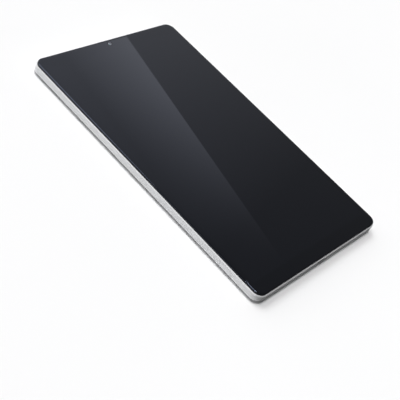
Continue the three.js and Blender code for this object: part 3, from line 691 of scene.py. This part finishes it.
def tray_shape():
    """The card tray: a face that is flush with the shell, an eject hole, and a drawer with a window."""
    low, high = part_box("card_tray")
    centre_y, centre_z = (low.y + high.y) / 2, (low.z + high.z) / 2
    face_thickness = 1.4 * MM
    drawer_half_z = 0.35 * MM
    drawer_half_y = 7.8 * MM
    drawer_y = 12.5 * MM
    chamfer = 0.1 * MM
    face = stack(
        pill_outline(high.y - low.y, FACE_HEIGHT, centre_y, centre_z, 12),
        [(0, high.x - face_thickness), (0, high.x - chamfer), (chamfer, high.x)],
        "x",
    )
    drawer = block(
        (low.x, drawer_y - drawer_half_y, centre_z - drawer_half_z - 0.05 * MM),
        (high.x - 1.2 * MM, drawer_y + drawer_half_y, centre_z + drawer_half_z - 0.05 * MM),
    )
    border = 1.4 * MM
    window_end = 55 * MM
    window = block(
        (low.x + border, drawer_y - drawer_half_y + border, centre_z - 1.2 * MM),
        (window_end, drawer_y + drawer_half_y - border, centre_z + 0.9 * MM),
        0.6 * MM,
    )
    eject = disc_outline(EJECT_RADIUS, low.y + 2 * MM, centre_z)
    return cut(join(face, drawer), window, mouth(eject, high.x - 2.5 * MM, high.x, "x"))


SWITCH_OFFSET = 5.3 * MM
volume_key = key_shape("volume_rocker", (-SWITCH_OFFSET, SWITCH_OFFSET))
piece("volume_key", volume_key, KEY_WHITE, "volume_rocker", "white_key", "volume_rocker")
piece("power_button", key_shape("power_key", (0,)), KEY_WHITE, "power_key", "white_key", "power_key")
piece("card_drawer", tray_shape(), KEY_WHITE, "card_tray", "white_shell", "card_tray")


# ---- Port ----


def port_sleeve():
    low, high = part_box("usb_c_shell")
    sheet = 0.3 * MM
    lip = sheet / 2
    profile = [
        (0, high.y),
        *rounding((0, low.y + lip), (lip, low.y), 5, False),
        *rounding((lip, low.y), (sheet, low.y + lip), 5, True),
        (sheet, high.y - sheet),
    ]
    return stack(pill_outline(high.x - low.x, high.z - low.z, 0, PORT_Z, 14), profile, "y")


def port_tongue():
    low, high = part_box("usb_c_tongue")
    tongue_half = 0.35 * MM
    soft = 0.15 * MM
    tongue_end = high.y - 0.5 * MM
    tongue = stack(
        rectangle_outline(3.35 * MM, tongue_half, 0.2 * MM, 0, PORT_Z, 4),
        [*rounding((soft, low.y), (0, low.y + soft), 4, True), (0, tongue_end)],
        "y",
    )
    base = stack(
        pill_outline(high.x - low.x, high.z - low.z, 0, PORT_Z, 12),
        [(0.1 * MM, high.y - 1.4 * MM), (0, high.y - 1.3 * MM), (0, high.y)],
        "y",
    )
    return join(base, tongue)


def port_contacts():
    """Twelve pads on each face of the tongue."""
    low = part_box("usb_c_tongue")[0]
    count, pitch = 12, 0.5 * MM
    width, length, height = 0.26 * MM, 3.2 * MM, 0.03 * MM
    pads = []
    for side in (-1, 1):
        face_z = PORT_Z + side * 0.35 * MM
        for i in range(count):
            x = (i - (count - 1) / 2) * pitch
            y = low.y + 0.7 * MM
            pad_low = (x - width / 2, y, face_z - height)
            pad_high = (x + width / 2, y + length, face_z + height)
            pads.append(block(pad_low, pad_high, height / 2))
    return together(pads)


piece("port_sleeve", port_sleeve(), PORT_METAL, "body", "port_metal", "usb_c_shell")
piece("port_tongue", port_tongue(), PORT_BLACK, "body", "black_moulding", "usb_c_tongue")
piece("port_contacts", port_contacts(), CONTACT_GOLD, "body", "gold_can")


# ---- Rear camera ----


def island_trim():
    """Black surround: a rounded rim, a pocket for the glass and a flange behind the shell's floor."""
    glass_low, glass_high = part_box("camera_glass")
    low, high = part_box("camera_trim")
    flange_z = FLOOR_Z + 0.05 * MM
    pocket_z = glass_high.z + 0.05 * MM
    outline = pill_outline(
        high.x - low.x, high.y - low.y, (low.x + high.x) / 2, (low.y + high.y) / 2, 20
    )
    rim_outer = 0.7 * MM
    rim_inner = (high.x - low.x) / 2 - (glass_high.x - glass_low.x) / 2 - 0.08 * MM
    lip = 0.3 * MM
    profile = [
        (0, high.z),
        (0, flange_z),
        (rim_outer, flange_z),
        *rounding((rim_outer, lip), (rim_outer + lip, 0), 6, False),
        *rounding((rim_inner - lip, 0), (rim_inner, lip), 6, True),
        (rim_inner, pocket_z),
    ]
    lens_hole = stack(disc_outline(3.2 * MM, LENS_X, LENS_Y, 12), [(0, 0), (0, high.z + PAST)])
    flash_hole = stack(disc_outline(1.8 * MM, FLASH_X, FLASH_Y, 10), [(0, 0), (0, high.z + PAST)])
    return cut(stack(outline, profile), lens_hole, flash_hole)


def island_glass():
    low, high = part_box("camera_glass")
    chamfer = 0.12 * MM
    outline = pill_outline(high.x - low.x, high.y - low.y, (low.x + high.x) / 2, (low.y + high.y) / 2, 20)
    profile = [(chamfer + SUPPORT, low.z), (chamfer, low.z), (0, low.z + chamfer), (0, high.z)]
    return stack(outline, profile)


def turned(radius, steps, x, y, profile):
    """A turned solid round a vertical axis, from (radius, height) points."""
    return stack(disc_outline(radius, x, y, steps), [(radius - r, height) for r, height in profile])


def rear_camera_body():
    """Square module with a stepped barrel that narrows to the lens."""
    low, high = REAR_CAMERA_LOW, REAR_CAMERA_HIGH
    body_z = 2 * MM
    barrel_radius = 2.8 * MM
    ring = low.z + 0.05 * MM
    steps = [
        (barrel_radius, body_z + 0.2 * MM),
        (barrel_radius, ring),
        (barrel_radius - 0.1 * MM, low.z),
        (2.5 * MM, low.z),
        (2.4 * MM, low.z + 0.2 * MM),
        (2.05 * MM, low.z + 0.25 * MM),
        (1.95 * MM, low.z + 0.45 * MM),
        (1.6 * MM, low.z + 0.5 * MM),
        (1.5 * MM, low.z + 0.75 * MM),
    ]
    barrel = turned(barrel_radius, 16, LENS_X, LENS_Y, steps)
    case = block((low.x, low.y, body_z), (high.x, high.y, high.z), 0.25 * MM)
    return join(case, barrel)


def lens_dome(x, y, radius, edge_z, apex_z, base_z):
    """A lens element with a spherical front from its edge to its apex, on a short cylinder."""
    rise = apex_z - edge_z
    profile = [(radius, base_z)]
    for i in range(9):
        angle = math.pi / 2 * i / 9
        profile.append((radius * math.cos(angle), edge_z + rise * math.sin(angle)))
    return turned(radius, 12, x, y, profile)


def flash_rings():
    """The flash's window, with the rings of a flat lens on its inner face."""
    low, high = FLASH_LOW, FLASH_HIGH
    radius = (high.x - low.x) / 2
    rings = 4
    depth = 0.16 * MM
    chamfer = 0.08 * MM
    profile = [
        (radius * 0.4, low.z),
        (radius - chamfer, low.z),
        (radius, low.z + chamfer),
        (radius, high.z),
    ]
    for i in range(rings):
        outer = radius * (0.92 - 0.2 * i)
        inner = radius * (0.92 - 0.2 * (i + 1)) + 0.02 * MM
        profile += [(outer, high.z), (inner, high.z - depth)]
    return turned(radius, 12, FLASH_X, FLASH_Y, profile)


piece("island_trim", island_trim(), TRIM_BLACK, "body", "camera_black", "camera_trim")
piece("island_glass", island_glass(), CAMERA_WINDOW, "body", "camera_window", "camera_glass")
piece("rear_camera_body", rear_camera_body(), BARREL_BLACK, "body", "black_moulding", "rear_camera_module")
rear_lens_z = REAR_CAMERA_LOW.z
piece(
    "rear_camera_lens",
    lens_dome(
        LENS_X,
        LENS_Y,
        radius=1.45 * MM,
        edge_z=rear_lens_z + 0.55 * MM,
        apex_z=rear_lens_z + 0.2 * MM,
        base_z=rear_lens_z + 0.7 * MM,
    ),
    LENS_GLASS,
    "body",
    "camera_window",
)
piece("flash_rings", flash_rings(), FLASH_CLEAR, "body", "flash_clear", "flash_lens", sharp=20)


# ---- Front camera ----


def front_camera_body():
    low, high = FRONT_CAMERA_LOW, FRONT_CAMERA_HIGH
    barrel_radius = 1.4 * MM
    case_top = high.z - 0.7 * MM
    profile = [
        (barrel_radius, case_top - 0.1 * MM),
        (barrel_radius, high.z - 0.12 * MM),
        (barrel_radius - 0.12 * MM, high.z),
        (1.0 * MM, high.z),
        (0.9 * MM, high.z - 0.25 * MM),
    ]
    barrel = turned(barrel_radius, 12, FRONT_CAMERA_X, FRONT_CAMERA_Y, profile)
    return join(block(low, (high.x, high.y, case_top), 0.2 * MM), barrel)


def front_camera_ring():
    """Bright ring round the front camera's lens."""
    top = FRONT_CAMERA_HIGH.z - 0.06 * MM
    radius = 0.88 * MM
    profile = [
        (radius, top - 0.15 * MM),
        (radius, top - 0.03 * MM),
        (0.82 * MM, top),
        (0.6 * MM, top),
        (0.5 * MM, top - 0.1 * MM),
    ]
    return turned(radius, 10, FRONT_CAMERA_X, FRONT_CAMERA_Y, profile)


front_top = FRONT_CAMERA_HIGH.z
piece(
    "front_camera_body", front_camera_body(), BARREL_BLACK, "body", "black_moulding",
    "front_camera_module",
)
piece("front_camera_ring", front_camera_ring(), RING_ALLOY, "body", "light_alloy")
piece(
    "front_camera_lens",
    lens_dome(
        FRONT_CAMERA_X,
        FRONT_CAMERA_Y,
        radius=0.5 * MM,
        edge_z=front_top - 0.14 * MM,
        apex_z=front_top - 0.04 * MM,
        base_z=front_top - 0.2 * MM,
    ),
    LENS_GLASS,
    "body",
    "camera_window",
)


# ---- Print on the back: a plain mark and unreadable lines ----


def print_layer(outline):
    """A thin raised layer of print on the back face."""
    thickness = 0.012 * MM
    return stack(outline, [(0, BACK_Z + thickness), (0, BACK_Z - thickness)])


def back_mark():
    """A plain pill-shaped outline."""
    mark = (0, -77.9 * MM)
    stroke = 0.7 * MM
    length, height = 13.5 * MM, 4.6 * MM
    outside = print_layer(pill_outline(length, height, *mark))
    hole = stack(
        pill_outline(length - 2 * stroke, height - 2 * stroke, *mark),
        [(0, BACK_Z - PAST), (0, BACK_Z + PAST)],
    )
    return cut(outside, hole)


def back_lines():
    """Three rows of dashes where fine print would be."""
    draw = random.Random(5)
    half_width, dash_height, gap = 18 * MM, 0.45 * MM, 0.5 * MM
    dashes = []
    for y in (-85.3 * MM, -87.1 * MM, -88.9 * MM):
        reach = half_width * draw.uniform(0.8, 1)
        x = -reach
        while x < reach:
            length = draw.uniform(1.2, 4.2) * MM
            dashes.append(print_layer(pill_outline(length, dash_height, x + length / 2, y, 3)))
            x += length + gap
    return together(dashes)


piece("back_mark", back_mark(), PRINT_GREY, "body", "graphite")
piece("back_lines", back_lines(), PRINT_PALE, "body", "graphite")


# ---- Finishes of the CAD nodes that stay ----

STEEL = finish(
    "steel", (0.55, 0.56, 0.58), (0.47, 0.48, 0.5), 0.3,
    1.0, grain=2200, grain_depth=0.004,
)
BRUSHED_PLATE = finish(
    "stamped_plate", (0.42, 0.43, 0.45), (0.34, 0.35, 0.37), 0.42,
    1.0, grain=700,
)
MOULDED_BLACK = finish(
    "moulded_black", (0.022, 0.022, 0.024), (0.015, 0.015, 0.017), 0.48,
    grain=1500, grain_depth=0.02,
)
TAPE_BLACK = finish(
    "tape_black", (0.03, 0.03, 0.032), (0.02, 0.02, 0.022), 0.75,
    grain=1100, grain_depth=0.02,
)
PANEL_BLACK = finish(
    "display_stack", (0.012, 0.013, 0.017), (0.008, 0.009, 0.012), 0.1,
    grain=200, grain_depth=0.001,
)
FILM_WHITE = finish(
    "diffuser_film", (0.86, 0.87, 0.88), (0.8, 0.81, 0.82), 0.35,
    grain=900, grain_depth=0.004,
)
CHIP_BLACK = finish(
    "chip_black", (0.028, 0.028, 0.03), (0.018, 0.018, 0.02), 0.55,
    grain=3500, grain_depth=0.01,
)
GRAPHITE = finish(
    "graphite_film", (0.06, 0.06, 0.064), (0.04, 0.04, 0.043), 0.4,
    0.6, grain=500, grain_depth=0.02,
)
PHOSPHOR = finish("phosphor", (0.85, 0.72, 0.2), (0.75, 0.62, 0.15), 0.5, grain=3000)
LEAD_JACKET = finish("lead_jacket", (0.02, 0.02, 0.021), (0.013, 0.013, 0.014), 0.5, grain=1800)
BOARD = circuit_board()
FLEX = amber_flex()
FOIL = battery_foil()
MESH = woven_mesh()

SLOT_FINISHES = {
    "display_stack": PANEL_BLACK,
    "light_guide": FILM_WHITE,
    "black_tape": TAPE_BLACK,
    "amber_flex": FLEX,
    "black_moulding": MOULDED_BLACK,
    "flash_phosphor": PHOSPHOR,
    "light_alloy": BRUSHED_PLATE,
    "steel_screw": STEEL,
    "pressed_steel": STEEL,
    "battery_foil": FOIL,
    "circuit_board": BOARD,
    "chip_black": CHIP_BLACK,
    "graphite": GRAPHITE,
    "gold_can": CONTACT_GOLD,
    "grille_mesh": MESH,
    "lead_jacket": LEAD_JACKET,
}


def finish_cad_nodes():
    """Gives each CAD node that still shows the finish of its material slot in the record."""
    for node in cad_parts.values():
        if node.hide_render:
            continue
        for holder in node.material_slots:
            holder.material = SLOT_FINISHES[holder.material.name.split(".")[0]]


finish_cad_nodes()


# ---- Studio ----


def studio_world():
    """Soft surroundings, brighter towards the end with the front camera."""
    world = bpy.data.worlds.new("studio")
    bpy.context.scene.world = world
    world.use_nodes = True
    tree = world.node_tree
    background = tree.nodes["Background"]
    direction = tree.nodes.new("ShaderNodeTexCoord")
    parts = tree.nodes.new("ShaderNodeSeparateXYZ")
    ramp = tree.nodes.new("ShaderNodeValToRGB")
    tree.links.new(direction.outputs["Generated"], parts.inputs[0])
    tree.links.new(parts.outputs["Y"], ramp.inputs[0])
    tree.links.new(ramp.outputs[0], background.inputs["Color"])
    elements = ramp.color_ramp.elements
    elements.remove(elements[1])
    for position in list(SURROUNDINGS)[1:]:
        elements.new(position)
    for element, level in zip(elements, SURROUNDINGS.values()):
        element.color = (level, level, level, 1)
    backdrop = tree.nodes.new("ShaderNodeBackground")
    backdrop.inputs["Color"].default_value = (1, 1, 1, 1)
    chooser = tree.nodes.new("ShaderNodeMixShader")
    path = tree.nodes.new("ShaderNodeLightPath")
    tree.links.new(path.outputs["Is Camera Ray"], chooser.inputs[0])
    tree.links.new(background.outputs[0], chooser.inputs[1])
    tree.links.new(backdrop.outputs[0], chooser.inputs[2])
    tree.links.new(chooser.outputs[0], tree.nodes["World Output"].inputs["Surface"])


def direction_from(azimuth, elevation):
    """The direction from the object to something at that azimuth and elevation, in radians."""
    level = math.cos(elevation)
    return Vector((math.sin(azimuth) * level, -math.cos(azimuth) * level, math.sin(elevation)))


def sun(name, azimuth, elevation, strength, softness):
    """A soft light from far away. Azimuth and elevation, in degrees, say where it comes from, as the
    camera's do, and softness is the angle that it fills."""
    data = bpy.data.lights.new(name, "SUN")
    data.energy = strength
    data.angle = math.radians(softness)
    lamp = bpy.data.objects.new(name, data)
    lamp.rotation_mode = "QUATERNION"
    source = direction_from(math.radians(azimuth), math.radians(elevation))
    lamp.rotation_quaternion = source.to_track_quat("Z", "Y")
    bpy.context.scene.collection.objects.link(lamp)


def studio_floor_plane():
    """The floor: a large soft-cornered slab whose top is the surface that the tablet lies on."""
    reach, thickness = 6.0, 0.02
    outline = rectangle_outline(reach, reach, 0.5, steps=12)
    mesh = stack(outline, [(0, -thickness), (0, 0)])
    mesh.materials.append(studio_floor())
    floor = bpy.data.objects.new("studio_floor", mesh)
    bpy.context.scene.collection.objects.link(floor)


def add_camera():
    data = bpy.data.cameras.new("camera")
    data.lens = VIEW_LENS
    data.sensor_width = 36
    data.clip_start, data.clip_end = 0.01, 50
    camera = bpy.data.objects.new("camera", data)
    back = direction_from(VIEW_AZIMUTH, VIEW_ELEVATION)
    camera.rotation_mode = "QUATERNION"
    upright = (-back).to_track_quat("-Z", "Y")
    camera.rotation_quaternion = upright @ Quaternion((0, 0, 1), VIEW_ROLL)
    camera.location = Vector((AIM_X, AIM_Y, GLASS_HIGH.z)) + back * VIEW_DISTANCE
    bpy.context.scene.collection.objects.link(camera)
    bpy.context.scene.camera = camera
    return camera


def reflection_card(camera):
    """A softbox overhead whose straight edge the glass mirrors as a diagonal line. The edge's ends
    follow from the camera: each is where the ray that the glass mirrors reaches the card's height.
    The card glows along its edge, most at the far end, and lets the surroundings shine through."""
    glass_z = GLASS_HIGH.z
    card_z = 0.88
    mirrored = Vector((camera.location.x, camera.location.y, 2 * glass_z - camera.location.z))

    def on_card(x, y):
        ray = Vector((x, y, glass_z)) - mirrored
        return mirrored + ray * ((card_z - mirrored.z) / ray.z)

    near = on_card(*EDGE_NEAR)
    far = on_card(*EDGE_FAR)
    along = (far - near).normalized()
    aside = Vector((-along.y, along.x, 0)) * CARD_WIDTH
    mesh = bpy.data.meshes.new("reflection_card")
    mesh.from_pydata([near, far, far + aside, near + aside], [], [(0, 1, 2, 3)])
    mesh.uv_layers.new(name="place")
    for loop, place in zip(mesh.uv_layers[0].data, ((0, 0), (0, 1), (1, 1), (1, 0))):
        loop.uv = place
    mesh.materials.append(card_glow())
    card = bpy.data.objects.new("reflection_card", mesh)
    bpy.context.scene.collection.objects.link(card)
    card.visible_camera = False


def card_glow():
    """Light along the card's edge that fades to its side and to its near end."""
    graph = Graph("card_glow")
    place = graph.node("ShaderNodeSeparateXYZ", {0: graph.node("ShaderNodeUVMap").outputs[0]})
    aside, along = place.outputs["X"], place.outputs["Y"]
    reach = graph.spread(along, 0, 1, 0.65, 1)
    across_fade = graph.spread(aside, 0, reach, 1, 0)
    near_fade = graph.spread(along, 0, 0.82, 0, 1, True)
    glow = graph.math("MULTIPLY", across_fade, near_fade)
    emission = graph.node("ShaderNodeEmission", {"Strength": graph.math("MULTIPLY", glow, CARD_STRENGTH)})
    clear = graph.node("ShaderNodeBsdfTransparent")
    whole = graph.node("ShaderNodeAddShader", {0: emission.outputs[0], 1: clear.outputs[0]})
    graph.tree.links.new(whole.outputs[0], graph.tree.nodes["Material Output"].inputs["Surface"])
    return graph.material


def dark_card():
    """A grey card on the floor along the end with the port, which keeps the floor's light off that
    wall. It is clear from below, so the floor under it stays as bright as the rest."""
    graph = Graph("dark_card")
    behind = graph.node("ShaderNodeNewGeometry").outputs["Backfacing"]
    graph.shade(
        Base_Color=(DARK_CARD_TONE, DARK_CARD_TONE, DARK_CARD_TONE, 1),
        Roughness=1.0,
        Specular_IOR_Level=0.0,
        Alpha=graph.math("SUBTRACT", 1, behind),
    )
    gap, depth, overhang, height = 0.6 * MM, 59.4 * MM, 20 * MM, 0.2 * MM
    near = -HALF_Y - gap
    far = near - depth
    reach = HALF_X + overhang
    mesh = bpy.data.meshes.new("dark_card")
    corners = [(-reach, far, height), (reach, far, height), (reach, near, height), (-reach, near, height)]
    mesh.from_pydata(corners, [], [(0, 1, 2, 3)])
    mesh.materials.append(graph.material)
    card = bpy.data.objects.new("dark_card", mesh)
    bpy.context.scene.collection.objects.link(card)
    card.visible_camera = False


studio_world()
studio_floor_plane()
dark_card()
sun("key_light", azimuth=180, elevation=86, strength=1.6, softness=15)
sun("fill_light", azimuth=180, elevation=56, strength=1.0, softness=28)
view_camera = add_camera()
reflection_card(view_camera)
bpy.context.scene.view_settings.view_transform = "Standard"
